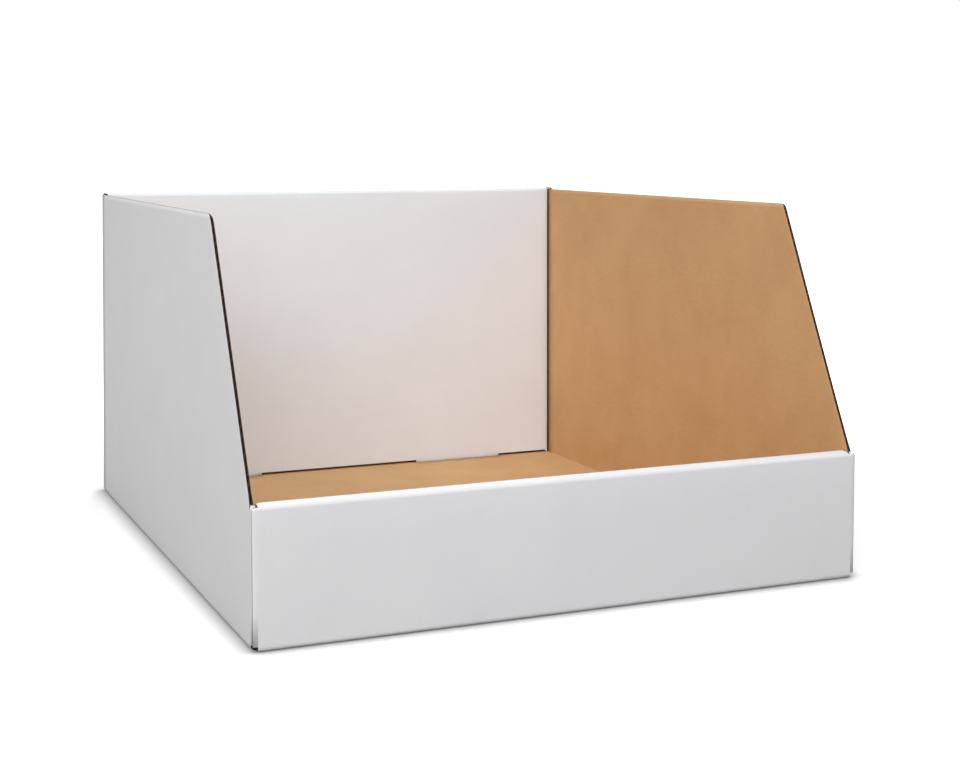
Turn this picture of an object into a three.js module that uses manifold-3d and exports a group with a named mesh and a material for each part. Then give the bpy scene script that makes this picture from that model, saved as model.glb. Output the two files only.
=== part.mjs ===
// Corrugated storage bin: one die-cut sheet, folded and locked, with an open top and a low front.
// Millimetres, +Z up. The front faces -Y. The origin is the middle of the underside.

import * as THREE from 'three';
import { mergeVertices } from 'three/addons/utils/BufferGeometryUtils.js';
import Module from 'manifold-3d';

// Outside sizes of the folded bin
const WIDTH = 508;
const DEPTH = 610;
const SIDE_HEIGHT = 306;
const BACK_HEIGHT = 308;
const LIP_HEIGHT = 104.5;

// Board and its folds
const BOARD = 3;
const FOLD_INNER_RADIUS = 0.6;
const FOLD_STEPS = 6;
const LAYER_GAP = 0.4;

// Double walls: the sheet rolls over and comes down again inside
const BACK_WALL = 12;
const LIP_WALL = 15;
const ROLL_END_GAP = 2;
const INNER_PANEL_LIFT = 2.4;

// Side walls: a level top edge that turns down to the lip
const SIDE_TOP_RUN = 494;
const SIDE_CORNER_RADIUS = 10;

// Corner flaps, hinged on the side walls and held inside the double walls
const FLAP_LENGTH = 150;
const FLAP_TAPER = 8;
const FLAP_CORNER_RADIUS = 14;
const FLAP_CLEARANCE = 0.6;
const CORNER_TONGUE = 7;

// Lock tabs of the inner panels and their slots in the floor
const TAB_WIDTH = 100;
const TAB_CENTRE = 138;
const TAB_CORNER_RADIUS = 1.5;
const TAB_RECESS = 0.3;
const SLOT_END_CLEARANCE = 1;
const SLOT_SIDE_CLEARANCE = 0.4;

// Sizes that follow from the ones above
const FOLD = BOARD + FOLD_INNER_RADIUS;
const HALF_WIDTH = WIDTH / 2;
const HALF_DEPTH = DEPTH / 2;
const FLAP_FACE = HALF_DEPTH - BOARD - LAYER_GAP;
const SIDE_END = FLAP_FACE - FOLD;
const ROLL_HALF = HALF_WIDTH - BOARD - ROLL_END_GAP;
const FLAP_BOTTOM = FOLD + FLAP_CLEARANCE;
const PANEL_BOTTOM = BOARD + INNER_PANEL_LIFT;
const CUT = 20;

// Section planes: the extrusion runs along the axis that isn't named
const YZ = new THREE.Matrix4().makeBasis(
  new THREE.Vector3(0, 1, 0), new THREE.Vector3(0, 0, 1), new THREE.Vector3(1, 0, 0));
const XZ = new THREE.Matrix4().makeBasis(
  new THREE.Vector3(1, 0, 0), new THREE.Vector3(0, 0, 1), new THREE.Vector3(0, -1, 0));
const XY = new THREE.Matrix4();

const wasm = await Module();
wasm.setup();

function toSolid(geometry) {
  const bare = geometry.clone();
  bare.deleteAttribute('normal');
  bare.deleteAttribute('uv');
  const merged = mergeVertices(bare);
  return new wasm.Manifold(new wasm.Mesh({
    numProp: 3,
    vertProperties: new Float32Array(merged.attributes.position.array),
    triVerts: new Uint32Array(merged.index.array),
  }));
}

function toGeometry(solid) {
  const mesh = solid.getMesh();
  const geometry = new THREE.BufferGeometry();
  geometry.setAttribute('position', new THREE.BufferAttribute(mesh.vertProperties, 3));
  geometry.setIndex(new THREE.BufferAttribute(mesh.triVerts, 1));
  geometry.computeVertexNormals();
  return geometry;
}

// A flat shape in a section plane, extruded to both sides of the plane's own level "middle"
function prism(shape, plane, length, middle = 0) {
  const geometry = new THREE.ExtrudeGeometry(shape, {
    depth: length,
    bevelEnabled: false,
    curveSegments: FOLD_STEPS,
  });
  geometry.translate(0, 0, middle - length / 2);
  geometry.applyMatrix4(plane);
  return toSolid(geometry);
}

function rectangle(x0, y0, x1, y1) {
  const shape = new THREE.Shape();
  shape.moveTo(x0, y0);
  shape.lineTo(x1, y0);
  shape.lineTo(x1, y1);
  shape.lineTo(x0, y1);
  shape.closePath();
  return shape;
}

// The section of a folded strip. The walk follows the white outer face with the board on its
// right, turns right by a quarter at each fold, and takes panel sizes outside to outside.
function foldedSection(start, heading, panels) {
  const outside = [];
  const inside = [];
  const position = start.clone();
  const ahead = heading.clone();
  panels.forEach((size, index) => {
    const inward = new THREE.Vector2(ahead.y, -ahead.x);
    const first = index === 0;
    const last = index === panels.length - 1;
    if (first) {
      outside.push(position.clone());
      inside.push(position.clone().addScaledVector(inward, BOARD));
    }
    const flat = size - (first ? 0 : FOLD) - (last ? 0 : FOLD);
    position.addScaledVector(ahead, flat);
    if (last) {
      outside.push(position.clone());
      inside.push(position.clone().addScaledVector(inward, BOARD));
      return;
    }
    const centre = position.clone().addScaledVector(inward, FOLD);
    for (let step = 0; step <= FOLD_STEPS; step++) {
      const angle = (-Math.PI / 2) * (step / FOLD_STEPS);
      const spoke = inward.clone().negate().rotateAround(new THREE.Vector2(), angle);
      outside.push(centre.clone().addScaledVector(spoke, FOLD));
      inside.push(centre.clone().addScaledVector(spoke, FOLD_INNER_RADIUS));
    }
    position.copy(centre).addScaledVector(ahead, FOLD);
    ahead.copy(inward);
  });
  return new THREE.Shape([...outside, ...inside.reverse()]);
}

// A polygon with every corner that has a radius rounded by a curve tangent to both its edges
function roundedOutline(corners) {
  const shape = new THREE.Shape();
  corners.forEach(([x, y, radius = 0], index) => {
    const at = new THREE.Vector2(x, y);
    if (radius === 0) {
      if (index === 0) shape.moveTo(x, y);
      else shape.lineTo(x, y);
      return;
    }
    const before = corners[(index + corners.length - 1) % corners.length];
    const after = corners[(index + 1) % corners.length];
    const back = new THREE.Vector2(before[0] - x, before[1] - y).normalize();
    const on = new THREE.Vector2(after[0] - x, after[1] - y).normalize();
    const reach = radius / Math.tan(Math.acos(back.dot(on)) / 2);
    const from = at.clone().addScaledVector(back, reach);
    const to = at.clone().addScaledVector(on, reach);
    if (index === 0) shape.moveTo(from.x, from.y);
    else shape.lineTo(from.x, from.y);
    shape.quadraticCurveTo(x, y, to.x, to.y);
  });
  shape.closePath();
  return shape;
}

// Floor, front and back: one long strip from the inner back panel, over the roll, under the
// floor and up over the lip to the inner front panel
function longStrip() {
  const section = foldedSection(
    new THREE.Vector2(HALF_DEPTH - BACK_WALL, PANEL_BOTTOM),
    new THREE.Vector2(0, 1),
    [
      BACK_HEIGHT - PANEL_BOTTOM,
      BACK_WALL,
      BACK_HEIGHT,
      DEPTH,
      LIP_HEIGHT,
      LIP_WALL,
      LIP_HEIGHT - PANEL_BOTTOM,
    ],
  );
  let strip = prism(section, YZ, WIDTH);
  for (const side of [-1, 1]) {
    strip = strip.subtract(rollNotch(side, 1, BACK_HEIGHT, BACK_WALL));
    strip = strip.subtract(rollNotch(side, -1, LIP_HEIGHT, LIP_WALL));
    strip = strip.subtract(floorNotch(side));
  }
  return strip;
}

// The roll and the inner panel are narrower than the outer panel, to pass between the side walls
function rollNotch(side, end, height, wall) {
  const outer = HALF_DEPTH + CUT;
  const panelFace = HALF_DEPTH - BOARD;
  const innerFace = HALF_DEPTH - wall - LAYER_GAP;
  const shape = new THREE.Shape();
  shape.moveTo(end * innerFace, FOLD);
  shape.lineTo(end * panelFace, FOLD);
  shape.lineTo(end * panelFace, height - FOLD);
  shape.lineTo(end * outer, height - FOLD);
  shape.lineTo(end * outer, height + CUT);
  shape.lineTo(end * innerFace, height + CUT);
  shape.closePath();
  return prism(shape, YZ, CUT, side * (ROLL_HALF + CUT / 2));
}

// The long strip's floor is cut in at the corners, where the side walls fold up instead
function floorNotch(side) {
  const shape = rectangle(-HALF_DEPTH - CUT, -CUT, HALF_DEPTH + CUT, FOLD + LAYER_GAP);
  return prism(shape, YZ, CUT, side * (HALF_WIDTH - FOLD + CUT / 2));
}

// Both side walls and the floor between them
function sideWalls() {
  const section = foldedSection(
    new THREE.Vector2(HALF_WIDTH, SIDE_HEIGHT),
    new THREE.Vector2(0, -1),
    [SIDE_HEIGHT, WIDTH, SIDE_HEIGHT],
  );
  const outline = roundedOutline([
    [-SIDE_END, -CUT],
    [SIDE_END, -CUT],
    [SIDE_END, SIDE_HEIGHT],
    [HALF_DEPTH - SIDE_TOP_RUN, SIDE_HEIGHT, SIDE_CORNER_RADIUS],
    [-SIDE_END, LIP_HEIGHT],
  ]);
  return prism(section, XZ, 2 * SIDE_END).intersect(prism(outline, YZ, WIDTH + CUT));
}

// One corner flap with the fold that carries it. A short tongue of the fold stands as high as
// the roll and closes its end.
function cornerFlap(side, end, height) {
  const startX = HALF_WIDTH - FLAP_LENGTH;
  const section = foldedSection(
    new THREE.Vector2(startX, FLAP_FACE),
    new THREE.Vector2(1, 0),
    [FLAP_LENGTH, FOLD + CORNER_TONGUE],
  );
  const top = height - BOARD - FLAP_CLEARANCE;
  const outline = roundedOutline([
    [HALF_WIDTH + CUT, FLAP_BOTTOM],
    [HALF_WIDTH + CUT, height],
    [HALF_WIDTH - FOLD, height],
    [HALF_WIDTH - FOLD, top],
    [startX, top - FLAP_TAPER, FLAP_CORNER_RADIUS],
    [startX, FLAP_BOTTOM + FLAP_TAPER, FLAP_CORNER_RADIUS],
    [HALF_WIDTH - FOLD, FLAP_BOTTOM],
  ]);
  const flap = prism(section, XY, height, height / 2).intersect(prism(outline, XZ, 2 * DEPTH));
  return flap.scale([side, end, 1]);
}

// The floor's slots and the tabs that lock the inner panels down in them
function tabCentres(wall) {
  const middle = HALF_DEPTH - wall + BOARD / 2;
  return [-TAB_CENTRE, TAB_CENTRE].map((x) => [x, middle]);
}

function lockSlot(x, y) {
  const half = TAB_WIDTH / 2 + SLOT_END_CLEARANCE;
  return prism(rectangle(x - half, -CUT, x + half, BOARD + LAYER_GAP), XZ,
    BOARD + 2 * SLOT_SIDE_CLEARANCE, -y);
}

function lockTab(x, y) {
  const half = TAB_WIDTH / 2;
  const outline = roundedOutline([
    [x - half, TAB_RECESS, TAB_CORNER_RADIUS],
    [x + half, TAB_RECESS, TAB_CORNER_RADIUS],
    [x + half, PANEL_BOTTOM + BOARD],
    [x - half, PANEL_BOTTOM + BOARD],
  ]);
  return prism(outline, XZ, BOARD, -y);
}

function foldedBin() {
  let bin = longStrip().add(sideWalls());
  for (const [end, height, wall] of [[1, BACK_HEIGHT, BACK_WALL], [-1, LIP_HEIGHT, LIP_WALL]]) {
    for (const side of [-1, 1]) bin = bin.add(cornerFlap(side, end, height));
    for (const [x, y] of tabCentres(wall)) {
      bin = bin.subtract(lockSlot(x, end * y));
      bin = bin.add(lockTab(x, end * y));
    }
  }
  return bin;
}

const bin = new THREE.Mesh(toGeometry(foldedBin()), new THREE.MeshStandardMaterial({
  color: 0xe6e6e8,
  roughness: 0.8,
  metalness: 0,
}));
bin.name = 'folded_bin';

const group = new THREE.Group();
group.add(bin);

export default group;
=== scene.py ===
"""Corrugated storage bin: a white and kraft board bin folded from one sheet, on a pale floor.

Metres, +Z up, the low front faces -Y. The board is built as it is made: a white outer liner, a
kraft inner liner and a fluted layer between them, all three carried round the same folds.
"""
import math

import bpy
import numpy as np
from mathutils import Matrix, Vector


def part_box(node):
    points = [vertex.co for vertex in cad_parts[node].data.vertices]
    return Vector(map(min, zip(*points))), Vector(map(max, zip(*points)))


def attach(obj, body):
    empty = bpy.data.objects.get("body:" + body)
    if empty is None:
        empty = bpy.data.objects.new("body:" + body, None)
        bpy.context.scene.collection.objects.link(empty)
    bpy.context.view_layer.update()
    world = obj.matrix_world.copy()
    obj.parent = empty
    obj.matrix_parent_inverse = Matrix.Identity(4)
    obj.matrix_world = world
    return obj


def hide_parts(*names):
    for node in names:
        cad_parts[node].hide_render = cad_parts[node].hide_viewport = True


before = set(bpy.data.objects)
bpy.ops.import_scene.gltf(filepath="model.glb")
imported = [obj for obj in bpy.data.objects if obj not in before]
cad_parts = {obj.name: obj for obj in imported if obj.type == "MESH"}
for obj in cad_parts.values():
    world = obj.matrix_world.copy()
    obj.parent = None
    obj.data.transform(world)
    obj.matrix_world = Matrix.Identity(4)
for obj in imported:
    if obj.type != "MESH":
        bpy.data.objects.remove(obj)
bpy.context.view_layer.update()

MM = 0.001

# Outside sizes, read from the frame. The back roll rises a little above the side walls.
low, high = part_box("folded_bin")
HALF_WIDTH = high[0]
HALF_DEPTH = high[1]
BACK_HEIGHT = high[2]
BACK_ROLL_RISE = 2 * MM
SIDE_HEIGHT = BACK_HEIGHT - BACK_ROLL_RISE
LIP_HEIGHT = 104.5 * MM

# Board and folds
BOARD = 3 * MM
LINER = 0.3 * MM
MEDIUM = 0.25 * MM
FLUTE_PITCH = 6.4 * MM
FLUTE_SAMPLES = 8
FOLD = 3.6 * MM
LAYER_GAP = 0.4 * MM

# Double walls, lock tabs and corner flaps
BACK_WALL = 12 * MM
LIP_WALL = 15 * MM
ROLL_END_GAP = 2 * MM
ROLL_HALF = HALF_WIDTH - BOARD - ROLL_END_GAP
BACK_TRIM = 1.5 * MM
BACK_HALF = HALF_WIDTH - BACK_TRIM
FOOT_MARGIN = 0.4 * MM
TAB_RECESS = 0.3 * MM
PANEL_BOTTOM = 5.4 * MM
TAB_INNER = 88 * MM
TAB_OUTER = 188 * MM
SLOT_CLEARANCE = 1 * MM
SLOT_SIDE = 0.4 * MM
FLAP_FACE = HALF_DEPTH - BOARD - LAYER_GAP
SIDE_END = FLAP_FACE - FOLD
FLAP_LENGTH = 150 * MM
FLAP_CLEARANCE = 0.6 * MM
TONGUE = 7 * MM

# Side walls: level top edge, rounded corner, slanted edge down to the lip
SIDE_TOP_RUN = 494 * MM
TOP_CORNER = HALF_DEPTH - SIDE_TOP_RUN
LEAN = math.atan2(TOP_CORNER + SIDE_END, SIDE_HEIGHT - LIP_HEIGHT)
LEFT_CORNER_RADIUS = 15 * MM
RIGHT_CORNER_RADIUS = 6 * MM

# How far the folded sheet departs from flat
LEFT_FLARE = 1.3 * MM
RIGHT_FLARE = 5.6 * MM
LEFT_BACK_LEAN = 2.4 * MM
BACK_ROLL_SAG = 1.0 * MM
WALL_BOW = 1.0 * MM
LIP_CROWN = 0.9 * MM

# Cut edges: the knife crushes the board, most where it runs along a flute
CRUSH_REACH = 1.8 * MM
CRUSH_ALONG = 0.6
CRUSH_ACROSS = 0.2
EDGE_LINES = np.array([0.4, 0.9, 1.6, 2.6, 4.0]) * MM
EDGE_BAND = 6 * MM

# Grid lines: how far apart they lie, or how many. The fluted layer has fewer along its flutes.
FOLD_STEPS = 8
FLUTED_STRIP_FOLD_STEPS = 3
FLUTED_FLAP_FOLD_STEPS = 4
STRIP_ROWS = 25 * MM
FLUTED_STRIP_ROWS = 100 * MM
STRIP_COLUMNS = 14 * MM
CROWN_LINES = 7
FLUTED_CROWN_LINES = 3
WALL_ROWS = 12 * MM
WALL_COLUMNS = 31
FLUTED_WALL_COLUMNS = 5
CORNER_LINES = 17
FLAP_ROWS = 30 * MM
FLUTED_FLAP_ROWS = 200 * MM
FLAP_COLUMNS = 25 * MM
FLUTE_STEP = FLUTE_PITCH / FLUTE_SAMPLES


# Shapes


def walk(start, heading, panels):
    """A strip folded right by quarter turns, seen in section.

    The walk follows the white outer face with the board on its right. Panel sizes are taken
    outside to outside. A point at arc length s and depth d lies at start + s * ahead +
    d * inward on a flat, and at centre - (fold radius - d) * inward on a fold, where inward
    turns with the arc. Returns the lengths at which flats and folds begin and end, and the
    function that places points.
    """
    pieces = []
    at = np.array(start, float)
    angle = heading
    reached = 0.0
    for index, size in enumerate(panels):
        ends = (index > 0) + (index < len(panels) - 1)
        flat = size - ends * FOLD
        pieces.append(("flat", reached, reached + flat, at.copy(), angle))
        at += flat * np.array([math.cos(angle), math.sin(angle)])
        reached += flat
        if index < len(panels) - 1:
            inward = np.array([math.sin(angle), -math.cos(angle)])
            centre = at + FOLD * inward
            arc = FOLD * math.pi / 2
            pieces.append(("fold", reached, reached + arc, centre, angle))
            reached += arc
            angle -= math.pi / 2
            at = centre - FOLD * np.array([math.sin(angle), -math.cos(angle)])
    marks = [piece[1] for piece in pieces] + [reached]

    def place(s, depth):
        s, depth = np.broadcast_arrays(s, depth)
        a = np.zeros(s.shape)
        b = np.zeros(s.shape)
        for kind, begin, end, point, heading_here in pieces:
            here = (s >= begin - 1e-9) & (s <= end + 1e-9)
            along = s[here] - begin
            if kind == "flat":
                turned = np.full(along.shape, heading_here)
                out = along
                reach = -depth[here]
            else:
                turned = heading_here - along / FOLD
                out = np.zeros(along.shape)
                reach = FOLD - depth[here]
            a[here] = point[0] + out * np.cos(turned) - reach * np.sin(turned)
            b[here] = point[1] + out * np.sin(turned) + reach * np.cos(turned)
        return a, b

    return marks, place


def steps(marks, spacing, fold_steps=FOLD_STEPS):
    """Grid lines along a walk: even steps on flats, and more of them round each fold."""
    lines = [marks[0]]
    for index, (begin, end) in enumerate(zip(marks[:-1], marks[1:])):
        count = fold_steps if index % 2 else max(1, round((end - begin) / spacing))
        lines.extend(np.linspace(begin, end, count + 1)[1:])
    return np.array(lines)


def with_lines(lines, extra):
    """Grid lines with the extra ones put in, and near twins merged."""
    merged = np.sort(np.concatenate([lines, np.ravel(extra)]))
    keep = np.concatenate([[True], np.diff(merged) > 1e-6])
    return merged[keep]


def settled(x, y, z):
    """Where a point of the squarely folded bin comes to stand in the paper one.

    A side wall leans out with the square of the height and the 1.5th power of the distance
    forward, and its middle bows by a sine in height times a sine in depth. The left back corner
    leans in with height. The back roll sags by a flat-topped curve between its ends.
    """
    side = np.clip(np.abs(x) / HALF_WIDTH, 0, 1) ** 4
    up = np.clip(z / SIDE_HEIGHT, 0, 1)
    forward = np.clip((SIDE_END - y) / (SIDE_END - TOP_CORNER), 0, 1.2)
    backward = np.clip((y + HALF_DEPTH) / (2 * HALF_DEPTH), 0, 1)
    flare = np.where(x > 0, RIGHT_FLARE, -LEFT_FLARE) * up**2 * forward**1.5
    lean = np.where(x < 0, LEFT_BACK_LEAN, 0) * up * backward**2
    bow = np.where(x > 0, WALL_BOW, -WALL_BOW) * np.sin(math.pi * up)
    bow = bow * np.sin(math.pi * np.clip(forward, 0, 1))
    at_back = np.clip((y - HALF_DEPTH + 3 * BACK_WALL) / (2 * BACK_WALL), 0, 1)
    sag = BACK_ROLL_SAG * np.clip(z / BACK_HEIGHT, 0, 1) ** 6 * at_back
    sag = sag * (1 - np.clip(np.abs(x) / ROLL_HALF, 0, 1) ** 10)
    belly = WALL_BOW * np.sin(math.pi * up) * np.cos(math.pi / 2 * x / HALF_WIDTH) * at_back
    return np.stack([x + (flare + lean + bow) * side, y - belly, z - sag], -1)


def crushed(depth, distance, amount):
    """Depths near a cut edge, drawn towards the board's middle by amount * exp(-(d / reach)^2)."""
    pull = amount * np.exp(-((distance / CRUSH_REACH) ** 2))
    return depth + (BOARD / 2 - depth) * pull


def slab_mesh(name, outer, inner, solid, uv, bare):
    """A closed sheet from two grids of points.

    Cell (i, j) of the grid is board where solid is true. Each such cell gives one face on the
    outer grid and one on the inner grid, and each grid edge between board and no board gives one
    face that joins the two grids. The attribute core is 1 on those joining faces and on the
    grids named in bare, and 0 elsewhere. It marks where the cut board's dark colour goes, a kraft
    brown darkened into painted shade of the flute tunnels.
    """
    rows, cols = solid.shape
    number = np.arange((rows + 1) * (cols + 1)).reshape(rows + 1, cols + 1)
    shift = number.size
    a, b, c, d = number[:-1, :-1], number[:-1, 1:], number[1:, 1:], number[1:, :-1]
    faces = [np.stack([a, b, c, d], -1)[solid]]
    faces.append(np.stack([d, c, b, a], -1)[solid] + shift)
    padded = np.pad(solid, 1)
    gaps = [
        (~padded[:-2, 1:-1], a, b),
        (~padded[1:-1, 2:], b, c),
        (~padded[2:, 1:-1], c, d),
        (~padded[1:-1, :-2], d, a),
    ]
    for open_side, p, q in gaps:
        edge = solid & open_side
        faces.append(np.stack([q[edge], p[edge], p[edge] + shift, q[edge] + shift], -1))
    quads = np.concatenate(faces)
    broad = len(faces[0])
    core_and_shade = np.ones(len(quads))
    core_and_shade[:broad] = "outer" in bare
    core_and_shade[broad : 2 * broad] = "inner" in bare
    smooth = np.arange(len(quads)) < 2 * broad
    points = np.concatenate([outer.reshape(-1, 3), inner.reshape(-1, 3)])
    used, inverse = np.unique(quads, return_inverse=True)
    quads = inverse.reshape(quads.shape)
    uvs = np.concatenate([uv.reshape(-1, 2)] * 2)[used]
    mesh = bpy.data.meshes.new(name)
    mesh.from_pydata(points[used], [], quads)
    layer = mesh.uv_layers.new(name="board")
    layer.data.foreach_set("uv", uvs[quads.ravel()].astype(np.float32).ravel())
    raw = mesh.attributes.new("core_and_shade", "FLOAT", "CORNER")
    raw.data.foreach_set("value", np.repeat(core_and_shade, 4).astype(np.float32))
    mesh.polygons.foreach_set("use_smooth", smooth)
    mesh.update()
    return mesh


def layer_depths(layer, across):
    """The depths of a layer's two faces below the white face.

    The liners are flat. The fluted layer follows depth = half the board + amplitude * sine of
    the distance across the flutes, and touches both liners.
    """
    if layer == "white":
        return np.zeros(across.shape), np.full(across.shape, LINER)
    if layer == "kraft":
        return np.full(across.shape, BOARD - LINER), np.full(across.shape, BOARD)
    amplitude = BOARD / 2 - LINER - MEDIUM / 2
    middle = BOARD / 2 + amplitude * np.sin(2 * math.pi * across / FLUTE_PITCH)
    return middle - MEDIUM / 2, middle + MEDIUM / 2


BARE_FACES = {"white": ("inner",), "kraft": ("outer",), "flutes": ("outer", "inner")}


def long_strip(layer):
    """Inner back panel, back roll, back, floor, front, lip roll and inner front panel.

    Rows run along the walk in the plane of Y and Z, and columns across the bin in X. The flutes
    run along the walk. The lip's flat top is crowned by a half sine. The rolls and inner panels
    are narrower than the floor, and each inner panel ends in two tabs over slots in the floor.
    """
    marks, place = walk(
        (HALF_DEPTH - BACK_WALL, TAB_RECESS),
        math.pi / 2,
        [
            BACK_HEIGHT - TAB_RECESS,
            BACK_WALL,
            BACK_HEIGHT,
            2 * HALF_DEPTH,
            LIP_HEIGHT,
            LIP_WALL,
            LIP_HEIGHT - TAB_RECESS,
        ],
    )
    fluted = layer == "flutes"
    tab = PANEL_BOTTOM - TAB_RECESS
    back_slot = marks[6] - FOLD + BACK_WALL + np.array([-BOARD - SLOT_SIDE, SLOT_SIDE])
    lip_slot = marks[7] + FOLD - LIP_WALL + np.array([-SLOT_SIDE, BOARD + SLOT_SIDE])
    feet = np.array([marks[5] - FOOT_MARGIN, marks[8] + FOOT_MARGIN])
    roll_ends = (marks[3] + marks[4]) / 2, (marks[9] + marks[10]) / 2
    lines = [tab, marks[-1] - tab, *back_slot, *lip_slot, *feet]
    lines.extend(
        np.linspace(marks[10], marks[11], FLUTED_CROWN_LINES if fluted else CROWN_LINES)
    )
    if not fluted:
        lines.extend([*(tab + EDGE_LINES), *(marks[-1] - tab - EDGE_LINES)])
    if fluted:
        rows = steps(marks, FLUTED_STRIP_ROWS, FLUTED_STRIP_FOLD_STEPS)
    else:
        rows = steps(marks, STRIP_ROWS)
    rows = with_lines(rows, lines)
    slot_edges = np.array([TAB_INNER - SLOT_CLEARANCE, TAB_OUTER + SLOT_CLEARANCE])
    edges = [HALF_WIDTH - FOLD, TAB_INNER, TAB_OUTER, *slot_edges]
    for end in (HALF_WIDTH, BACK_HALF, ROLL_HALF):
        edges.extend([end] if fluted else [end, *(end - EDGE_LINES)])
    edges = np.array(edges)
    count = round(2 * HALF_WIDTH / (FLUTE_STEP if fluted else STRIP_COLUMNS))
    columns = np.linspace(-HALF_WIDTH, HALF_WIDTH, count + 1)
    columns = with_lines(columns, [edges, -edges])

    def half_width(along):
        wide = np.where(along < feet[0], BACK_HALF, HALF_WIDTH)
        return np.where((along < roll_ends[0]) | (along > roll_ends[1]), ROLL_HALF, wide)

    s, x = np.meshgrid(rows, columns, indexing="ij")
    to_edge = np.abs(half_width(s) - np.abs(x))
    crown = LIP_CROWN * np.sin(math.pi * np.clip((s - marks[10]) / (marks[11] - marks[10]), 0, 1))
    grids = []
    for depth in layer_depths(layer, x):
        y, z = place(s, crushed(depth, to_edge, CRUSH_ALONG))
        grids.append(settled(x, y, z + crown))

    mid_s = ((rows[:-1] + rows[1:]) / 2)[:, None]
    mid_x = np.abs((columns[:-1] + columns[1:]) / 2)[None, :]
    tabs = (mid_x > TAB_INNER) & (mid_x < TAB_OUTER)
    slots = (mid_x > slot_edges[0]) & (mid_x < slot_edges[1])
    foot_rows = (mid_s > feet[0]) & (mid_s < feet[1])
    solid = mid_x < np.where(foot_rows, HALF_WIDTH - FOLD, half_width(mid_s))
    below = (mid_s < tab) | (mid_s > marks[-1] - tab)
    solid &= ~below | tabs
    slot_rows = np.zeros(mid_s.shape, bool)
    for begin, finish in (back_slot, lip_slot):
        slot_rows |= (mid_s > begin) & (mid_s < finish)
    solid &= ~(slot_rows & slots)
    uv = np.stack([x, s], -1)
    return slab_mesh("long_strip_" + layer, *grids, solid, uv, BARE_FACES[layer])


def slanted_front(z, radius):
    """Where the side wall's front edge lies at height z.

    Below the lip it is upright. Above it, y rises along a straight line to the top corner, and
    the last stretch is the arc of a circle tangent to that line and to the top edge.
    """
    reach = radius * math.tan((math.pi / 2 - LEAN) / 2)
    line = -SIDE_END + (z - LIP_HEIGHT) * math.tan(LEAN)
    above_centre = np.clip(z - (SIDE_HEIGHT - radius), 0, radius)
    arc = TOP_CORNER + reach - np.sqrt(radius**2 - above_centre**2)
    start = SIDE_HEIGHT - reach * math.cos(LEAN)
    return np.where(z < LIP_HEIGHT, -SIDE_END, np.where(z < start, line, arc))


def side_wall(side, layer):
    """One side wall with the fold that joins it to the floor.

    Rows run down the wall in the plane of X and Z, and columns in Y from the slanted front edge
    to the back. The flutes run along Y.
    """
    marks, place = walk((HALF_WIDTH, SIDE_HEIGHT), -math.pi / 2, [SIDE_HEIGHT, FOLD])
    fluted = layer == "flutes"
    radius = RIGHT_CORNER_RADIUS if side > 0 else LEFT_CORNER_RADIUS
    arc = radius * (1 - np.cos(np.linspace(0, math.pi / 2, CORNER_LINES)))
    lines = np.concatenate([arc, EDGE_LINES, [SIDE_HEIGHT - LIP_HEIGHT]])
    rows = steps(marks, FLUTE_STEP if fluted else WALL_ROWS)
    rows = with_lines(rows, lines)
    near = np.concatenate([[0], EDGE_LINES])
    spread = np.linspace(0, 1, FLUTED_WALL_COLUMNS if fluted else WALL_COLUMNS)
    s, share = np.meshgrid(rows, np.concatenate([near * 0, spread]), indexing="ij")
    inset = np.broadcast_to(np.concatenate([near, spread * 0 + EDGE_BAND]), s.shape)
    height = place(s, np.zeros(s.shape))[1]
    front = slanted_front(height, radius)
    y = front + inset + share * (SIDE_END - front - inset)
    to_front = np.where(height < LIP_HEIGHT, 1.0, (y - front) * math.cos(LEAN))
    grids = []
    for depth in layer_depths(layer, s):
        depth = crushed(depth, s, CRUSH_ALONG)
        x, z = place(s, crushed(depth, to_front, CRUSH_ACROSS))
        grids.append(settled(side * x, y, z))
    if side < 0:
        grids = [grid[:, ::-1] for grid in grids]
        s, y = s[:, ::-1], y[:, ::-1]
    solid = np.ones((s.shape[0] - 1, s.shape[1] - 1), bool)
    name = ("right" if side > 0 else "left") + "_side_" + layer
    return slab_mesh(name, *grids, solid, np.stack([s, y], -1), BARE_FACES[layer])


def corner_flap(side, end, height, layer):
    """One corner flap with the upright fold that joins it to its side wall.

    Rows run along the walk in the plane of X and Y, and columns up in Z. The flutes run level.
    Above the flap's own top, only the fold and its tongue go on, up to the given height.
    """
    marks, place = walk((HALF_WIDTH - FLAP_LENGTH, FLAP_FACE), 0, [FLAP_LENGTH, FOLD + TONGUE])
    fluted = layer == "flutes"
    bottom = FOLD + FLAP_CLEARANCE
    flap_top = height - BOARD - FLAP_CLEARANCE
    step = FLUTE_STEP if fluted else FLAP_COLUMNS
    if fluted:
        rows = steps(marks, FLUTED_FLAP_ROWS, FLUTED_FLAP_FOLD_STEPS)
    else:
        rows = steps(marks, FLAP_ROWS)
    levels = [flap_top, min(SIDE_HEIGHT, height), *(height - EDGE_LINES)]
    count = max(2, round((height - bottom) / step))
    columns = with_lines(np.linspace(bottom, height, count + 1), levels)
    s, z = np.meshgrid(rows, columns, indexing="ij")
    to_top = np.where(s > marks[1] - 1e-6, height - z, 1.0)
    grids = []
    for depth in layer_depths(layer, z):
        x, y = place(s, crushed(depth, to_top, CRUSH_ALONG))
        grids.append(settled(side * x, end * y, z))
    mid_s = ((rows[:-1] + rows[1:]) / 2)[:, None]
    mid_z = ((columns[:-1] + columns[1:]) / 2)[None, :]
    solid = (mid_z < flap_top) | (mid_s > marks[1])
    solid &= (mid_s < marks[2]) | (mid_z > SIDE_HEIGHT)
    if side * end > 0:
        grids = [grid[:, ::-1] for grid in grids]
        solid = solid[:, ::-1]
        s, z = s[:, ::-1], z[:, ::-1]
    hand = "right" if side > 0 else "left"
    wall = "back" if end > 0 else "front"
    name = f"{hand}_{wall}_flap_{layer}"
    return slab_mesh(name, *grids, solid, np.stack([z, s], -1), BARE_FACES[layer])


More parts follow.
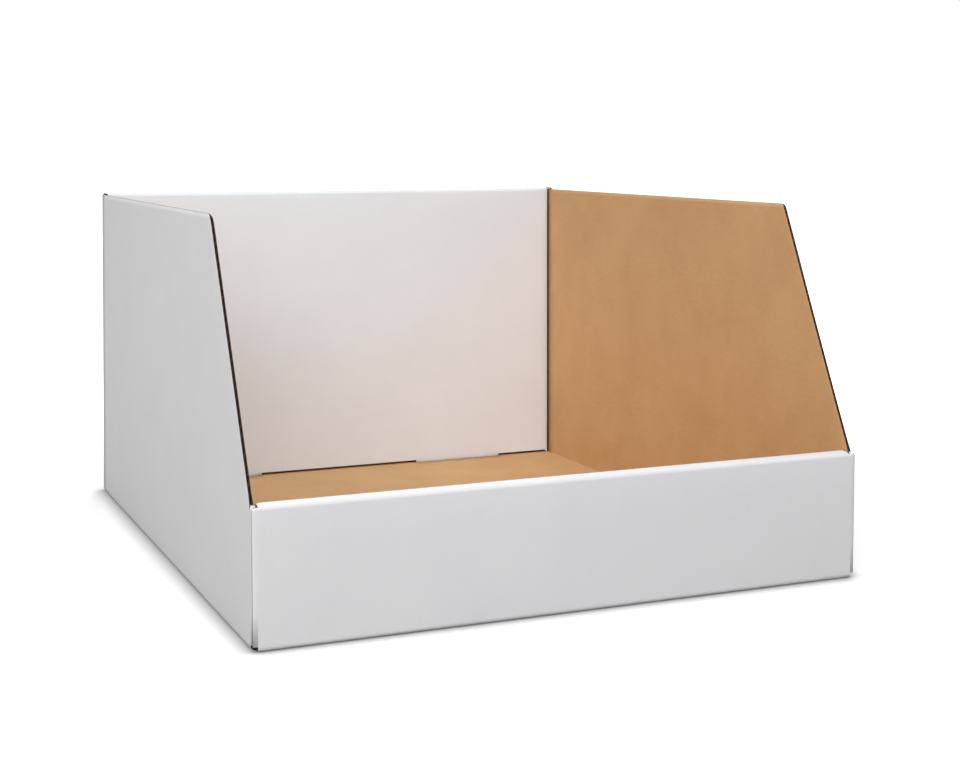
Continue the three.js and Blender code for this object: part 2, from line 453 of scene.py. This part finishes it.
def joined(name, meshes, material):
    """One object at the origin from several meshes."""
    objects = []
    for mesh in meshes:
        part = bpy.data.objects.new(mesh.name, mesh)
        bpy.context.scene.collection.objects.link(part)
        objects.append(part)
    with bpy.context.temp_override(active_object=objects[0], selected_editable_objects=objects):
        bpy.ops.object.join()
    whole = objects[0]
    whole.name = name
    whole.data.name = name
    whole.data.materials.clear()
    whole.data.materials.append(material)
    return whole


# Materials


def add_socket(group, name, kind, direction, value=None):
    """A named input or output of a shader group."""
    socket = group.interface.new_socket(name=name, in_out=direction, socket_type=kind)
    if value is not None:
        socket.default_value = value


def build_paper_fibre():
    """Paper fibre: cloudy tone from slow noise, and short fibres from noise drawn out one way."""
    group = bpy.data.node_groups.new("paper_fibre", "ShaderNodeTree")
    add_socket(group, "Cloud Size", "NodeSocketFloat", "INPUT", 14.0)
    add_socket(group, "Fibre Size", "NodeSocketFloat", "INPUT", 420.0)
    add_socket(group, "Cloud", "NodeSocketFloat", "OUTPUT")
    add_socket(group, "Fibre", "NodeSocketFloat", "OUTPUT")
    nodes, links = group.nodes, group.links
    inputs = nodes.new("NodeGroupInput")
    outputs = nodes.new("NodeGroupOutput")
    place = nodes.new("ShaderNodeTexCoord")
    cloud = nodes.new("ShaderNodeTexNoise")
    cloud.inputs["Detail"].default_value = 4.0
    cloud.inputs["Roughness"].default_value = 0.6
    links.new(place.outputs["Object"], cloud.inputs["Vector"])
    links.new(inputs.outputs["Cloud Size"], cloud.inputs["Scale"])
    drawn = nodes.new("ShaderNodeMapping")
    drawn.inputs["Scale"].default_value = (1.0, 0.35, 1.0)
    fibre = nodes.new("ShaderNodeTexNoise")
    fibre.inputs["Detail"].default_value = 3.0
    links.new(place.outputs["Object"], drawn.inputs["Vector"])
    links.new(drawn.outputs["Vector"], fibre.inputs["Vector"])
    links.new(inputs.outputs["Fibre Size"], fibre.inputs["Scale"])
    links.new(cloud.outputs["Fac"], outputs.inputs["Cloud"])
    links.new(fibre.outputs["Fac"], outputs.inputs["Fibre"])
    return group


def build_flute_show_through():
    """Flutes showing through a liner: a sine of the distance across the flutes, 0 to 1."""
    group = bpy.data.node_groups.new("flute_show_through", "ShaderNodeTree")
    add_socket(group, "Pitch", "NodeSocketFloat", "INPUT", FLUTE_PITCH)
    add_socket(group, "Ridge", "NodeSocketFloat", "OUTPUT")
    nodes, links = group.nodes, group.links
    inputs = nodes.new("NodeGroupInput")
    outputs = nodes.new("NodeGroupOutput")
    board = nodes.new("ShaderNodeUVMap")
    board.uv_map = "board"
    split = nodes.new("ShaderNodeSeparateXYZ")
    links.new(board.outputs["UV"], split.inputs["Vector"])
    turns = nodes.new("ShaderNodeMath")
    turns.operation = "DIVIDE"
    links.new(split.outputs["X"], turns.inputs[0])
    links.new(inputs.outputs["Pitch"], turns.inputs[1])
    angle = nodes.new("ShaderNodeMath")
    angle.operation = "MULTIPLY"
    angle.inputs[1].default_value = 2 * math.pi
    links.new(turns.outputs[0], angle.inputs[0])
    wave = nodes.new("ShaderNodeMath")
    wave.operation = "SINE"
    links.new(angle.outputs[0], wave.inputs[0])
    ridge = nodes.new("ShaderNodeMath")
    ridge.operation = "MULTIPLY_ADD"
    ridge.inputs[1].default_value = 0.5
    ridge.inputs[2].default_value = 0.5
    links.new(wave.outputs[0], ridge.inputs[0])
    links.new(ridge.outputs[0], outputs.inputs["Ridge"])
    return group


paper_fibre = build_paper_fibre()
flute_show_through = build_flute_show_through()


def placed_group(nodes, group):
    """A shader group placed in a material with its own default values."""
    node = nodes.new("ShaderNodeGroup")
    node.node_tree = group
    return node


def scaled(nodes, links, source, low_end, high_end):
    """A 0 to 1 value spread over another range."""
    spread = nodes.new("ShaderNodeMapRange")
    spread.inputs["To Min"].default_value = low_end
    spread.inputs["To Max"].default_value = high_end
    links.new(source, spread.inputs["Value"])
    return spread.outputs["Result"]


def product(nodes, links, first, second):
    """Two values multiplied."""
    times = nodes.new("ShaderNodeMath")
    times.operation = "MULTIPLY"
    links.new(first, times.inputs[0])
    links.new(second, times.inputs[1])
    return times.outputs[0]


def board_material(name, light, dark, core_and_shade, roughness, fibre, ridge, relief):
    """One layer's paper: its tone drifts from dark to light, and where it is cut its inside shows
    in a kraft brown darkened into painted shade of the flute tunnels.

    fibre and ridge say how much each effect darkens or lightens the paper, and relief is the
    height of the flutes' show-through in metres.
    """
    material = bpy.data.materials.new(name)
    material.use_nodes = True
    nodes, links = material.node_tree.nodes, material.node_tree.links
    shader = nodes["Principled BSDF"]
    shader.inputs["Roughness"].default_value = roughness
    shader.inputs["Specular IOR Level"].default_value = 0.3
    paper = placed_group(nodes, paper_fibre)
    flutes = placed_group(nodes, flute_show_through)
    stretch = nodes.new("ShaderNodeMapRange")
    stretch.inputs["From Min"].default_value = 0.3
    stretch.inputs["From Max"].default_value = 0.7
    links.new(paper.outputs["Cloud"], stretch.inputs["Value"])
    tone = nodes.new("ShaderNodeMix")
    tone.data_type = "RGBA"
    tone.inputs["A"].default_value = (*dark, 1)
    tone.inputs["B"].default_value = (*light, 1)
    links.new(stretch.outputs["Result"], tone.inputs["Factor"])
    fine = scaled(nodes, links, paper.outputs["Fibre"], 1 - fibre, 1 + fibre)
    bands = scaled(nodes, links, flutes.outputs["Ridge"], 1 - ridge, 1 + ridge)
    lit = nodes.new("ShaderNodeVectorMath")
    lit.operation = "SCALE"
    links.new(tone.outputs["Result"], lit.inputs[0])
    links.new(product(nodes, links, fine, bands), lit.inputs["Scale"])
    # Cut edges and hidden faces take the dark colour: kraft brown with painted shade of the flute
    # tunnels
    raw = nodes.new("ShaderNodeAttribute")
    raw.attribute_name = "core_and_shade"
    cut = nodes.new("ShaderNodeMix")
    cut.data_type = "RGBA"
    cut.inputs["B"].default_value = (*core_and_shade, 1)
    links.new(raw.outputs["Fac"], cut.inputs["Factor"])
    links.new(lit.outputs["Vector"], cut.inputs["A"])
    links.new(cut.outputs["Result"], shader.inputs["Base Color"])
    bump = nodes.new("ShaderNodeBump")
    bump.inputs["Strength"].default_value = 0.5
    bump.inputs["Distance"].default_value = relief
    links.new(flutes.outputs["Ridge"], bump.inputs["Height"])
    links.new(bump.outputs["Normal"], shader.inputs["Normal"])
    return material


# The colour of cut edges and hidden faces: kraft brown darkened into painted shade, for the shadow
# inside the flute tunnels. The fluted layer's own tones are as dark, and every face of it takes
# this colour.
RAW_CORE_AND_FLUTE_SHADE = (0.10, 0.065, 0.045)
white = board_material(
    "white_liner", (0.80, 0.79, 0.80), (0.77, 0.76, 0.772),
    RAW_CORE_AND_FLUTE_SHADE, roughness=0.7, fibre=0.01, ridge=0.002, relief=0.03 * MM,
)
kraft = board_material(
    "kraft_liner", (0.64, 0.385, 0.185), (0.58, 0.335, 0.155),
    RAW_CORE_AND_FLUTE_SHADE, roughness=0.8, fibre=0.06, ridge=0.005, relief=0.02 * MM,
)
fluting = board_material(
    "flute_edge", (0.16, 0.105, 0.07), (0.12, 0.08, 0.055),
    RAW_CORE_AND_FLUTE_SHADE, roughness=0.9, fibre=0.1, ridge=0.0, relief=0.01 * MM,
)


# Pieces


def layer_meshes(layer):
    """One layer of the long strip, both side walls and the four corner flaps."""
    meshes = [long_strip(layer)]
    for side in (-1, 1):
        meshes.append(side_wall(side, layer))
        meshes.append(corner_flap(side, 1, BACK_HEIGHT, layer))
        meshes.append(corner_flap(side, -1, LIP_HEIGHT, layer))
    return meshes


for layer, name, material, slot in (
    ("white", "outer_liner", white, "white_liner"),
    ("kraft", "inner_liner", kraft, "kraft_liner"),
    ("flutes", "fluted_layer", fluting, "flute_edge"),
):
    piece = joined(name, layer_meshes(layer), material)
    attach(piece, "root")
    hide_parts("folded_bin")


# Floor, backdrop and light

FLOOR_REACH = 30.0
FLOOR_DROP = 0.3 * MM
FLOOR_BOUNCE = 0.35
FLOOR_GLOW = 0.15
FLOOR_NEAR = 0.45
FLOOR_FAR = 0.9
# Painted contact shade on the floor: how far it reaches and how dark it gets
CONTACT_REACH = 18 * MM
CONTACT_DARKEST = 0.45


def seen_directly(nodes, links):
    """1 for what the camera sees itself, in a reflection or through glass, and 0 otherwise."""
    path = nodes.new("ShaderNodeLightPath")
    seen = path.outputs["Is Camera Ray"]
    for other in ("Is Glossy Ray", "Is Transmission Ray"):
        either = nodes.new("ShaderNodeMath")
        either.operation = "MAXIMUM"
        links.new(seen, either.inputs[0])
        links.new(path.outputs[other], either.inputs[1])
        seen = either.outputs[0]
    return seen


def floor_material():
    """White where it is seen, and a plainer grey to the light it sends back.

    It keeps the bin's cast shadow. On top of that, a painted contact shade darkens it in the last
    few millimetres before the board by how open the place is to light, but not below
    CONTACT_DARKEST. Its seen white is helped by a glow that rises from FLOOR_GLOW at FLOOR_NEAR
    metres from the bin's middle to 1 at FLOOR_FAR; the painted contact shade darkens the glow too.
    """
    material = bpy.data.materials.new("floor")
    material.use_nodes = True
    nodes, links = material.node_tree.nodes, material.node_tree.links
    nodes.remove(nodes["Principled BSDF"])
    seen = seen_directly(nodes, links)
    tone = nodes.new("ShaderNodeMix")
    tone.data_type = "RGBA"
    tone.inputs["A"].default_value = (FLOOR_BOUNCE, FLOOR_BOUNCE, FLOOR_BOUNCE, 1)
    # Painted contact shade: ambient occlusion near the board darkens the floor's seen colour and
    # its glow
    open_to_light = nodes.new("ShaderNodeAmbientOcclusion")
    open_to_light.inputs["Distance"].default_value = CONTACT_REACH
    painted_contact_shade = nodes.new("ShaderNodeMath")
    painted_contact_shade.operation = "MAXIMUM"
    painted_contact_shade.inputs[1].default_value = CONTACT_DARKEST
    links.new(open_to_light.outputs["AO"], painted_contact_shade.inputs[0])
    links.new(painted_contact_shade.outputs[0], tone.inputs["B"])
    links.new(seen, tone.inputs["Factor"])
    matt = nodes.new("ShaderNodeBsdfDiffuse")
    links.new(tone.outputs["Result"], matt.inputs["Color"])
    place = nodes.new("ShaderNodeTexCoord")
    away = nodes.new("ShaderNodeVectorMath")
    away.operation = "LENGTH"
    links.new(place.outputs["Object"], away.inputs[0])
    rise = nodes.new("ShaderNodeMapRange")
    rise.inputs["From Min"].default_value = FLOOR_NEAR
    rise.inputs["From Max"].default_value = FLOOR_FAR
    rise.inputs["To Min"].default_value = FLOOR_GLOW
    links.new(away.outputs["Value"], rise.inputs["Value"])
    glow = nodes.new("ShaderNodeEmission")
    bright = product(nodes, links, painted_contact_shade.outputs[0], rise.outputs["Result"])
    links.new(product(nodes, links, seen, bright), glow.inputs["Strength"])
    both = nodes.new("ShaderNodeAddShader")
    links.new(matt.outputs["BSDF"], both.inputs[0])
    links.new(glow.outputs["Emission"], both.inputs[1])
    links.new(both.outputs["Shader"], nodes["Material Output"].inputs["Surface"])
    return material


def stage_floor():
    """A large level square, a hair below the bin's underside."""
    corners = [(-1, -1), (1, -1), (1, 1), (-1, 1)]
    points = [(x * FLOOR_REACH, y * FLOOR_REACH, -FLOOR_DROP) for x, y in corners]
    mesh = bpy.data.meshes.new("floor")
    mesh.from_pydata(points, [], [(0, 1, 2, 3)])
    floor = bpy.data.objects.new("floor", mesh)
    bpy.context.scene.collection.objects.link(floor)
    mesh.materials.append(floor_material())


def backdrop(ambient):
    """White where it is seen, and a plain pale light on everything else."""
    world = bpy.data.worlds.new("studio")
    bpy.context.scene.world = world
    world.use_nodes = True
    nodes, links = world.node_tree.nodes, world.node_tree.links
    nodes.clear()
    seen = seen_directly(nodes, links)
    light = nodes.new("ShaderNodeBackground")
    light.inputs["Color"].default_value = (1, 1, 1, 1)
    links.new(scaled(nodes, links, seen, ambient, 1.0), light.inputs["Strength"])
    output = nodes.new("ShaderNodeOutputWorld")
    links.new(light.outputs["Background"], output.inputs["Surface"])


def lamp(name, place, aim, size, watts, colour=(1, 1, 1), spread=180):
    """A square area lamp at place, turned so that it shines at aim, spread degrees wide."""
    data = bpy.data.lights.new(name, "AREA")
    data.shape = "SQUARE"
    data.size = size
    data.energy = watts
    data.color = colour
    data.spread = math.radians(spread)
    item = bpy.data.objects.new(name, data)
    bpy.context.scene.collection.objects.link(item)
    item.location = place
    x, y, z = np.array(aim, float) - np.array(place, float)
    item.rotation_euler = (math.atan2(math.hypot(x, y), -z), 0, math.atan2(-x, y))


# The cool fill offsets the warm light that the kraft floor sends onto the inner back panel
stage_floor()
backdrop(ambient=0.27)
lamp("overhead", (0.0, -0.3, 2.6), (0, 0, 0.1), 2.2, 21)
lamp("high_front", (-0.3, -2.6, 1.9), (0, 0.1, 0.1), 1.6, 31)
lamp("left_front", (-1.3, -1.9, 1.5), (0, 0, 0.15), 0.9, 17)
lamp("left", (-1.9, -0.3, 1.3), (0, 0, 0.15), 0.9, 11)
lamp("cool_fill", (0, -0.6, 0.75), (0, 0.29, 0.17), 0.4, 0.2, (0.4, 1.0, 1.35), 60)
lamp("rear", (1.3, 2.3, 1.6), (0, 0, 0.15), 1.2, 28)


# Camera, dipped a little so that its shift stays small

SENSOR_WIDTH = 36
FRAME_WIDTH = 960
FOCAL_PIXELS = 1670.1
CAMERA_PLACE = (-0.5497, -1.446, 0.3626)
CAMERA_TURN = 0.418
CAMERA_DIP = 0.05
CAMERA_SHIFT = (-0.0484, -0.1649)

camera_data = bpy.data.cameras.new("camera")
camera_data.sensor_width = SENSOR_WIDTH
camera_data.lens = FOCAL_PIXELS * SENSOR_WIDTH / FRAME_WIDTH
camera_data.shift_x, camera_data.shift_y = CAMERA_SHIFT
camera = bpy.data.objects.new("camera", camera_data)
bpy.context.scene.collection.objects.link(camera)
camera.location = CAMERA_PLACE
camera.rotation_euler = (math.pi / 2 - CAMERA_DIP, 0, -CAMERA_TURN)
bpy.context.scene.camera = camera
bpy.context.scene.view_settings.view_transform = "Standard"
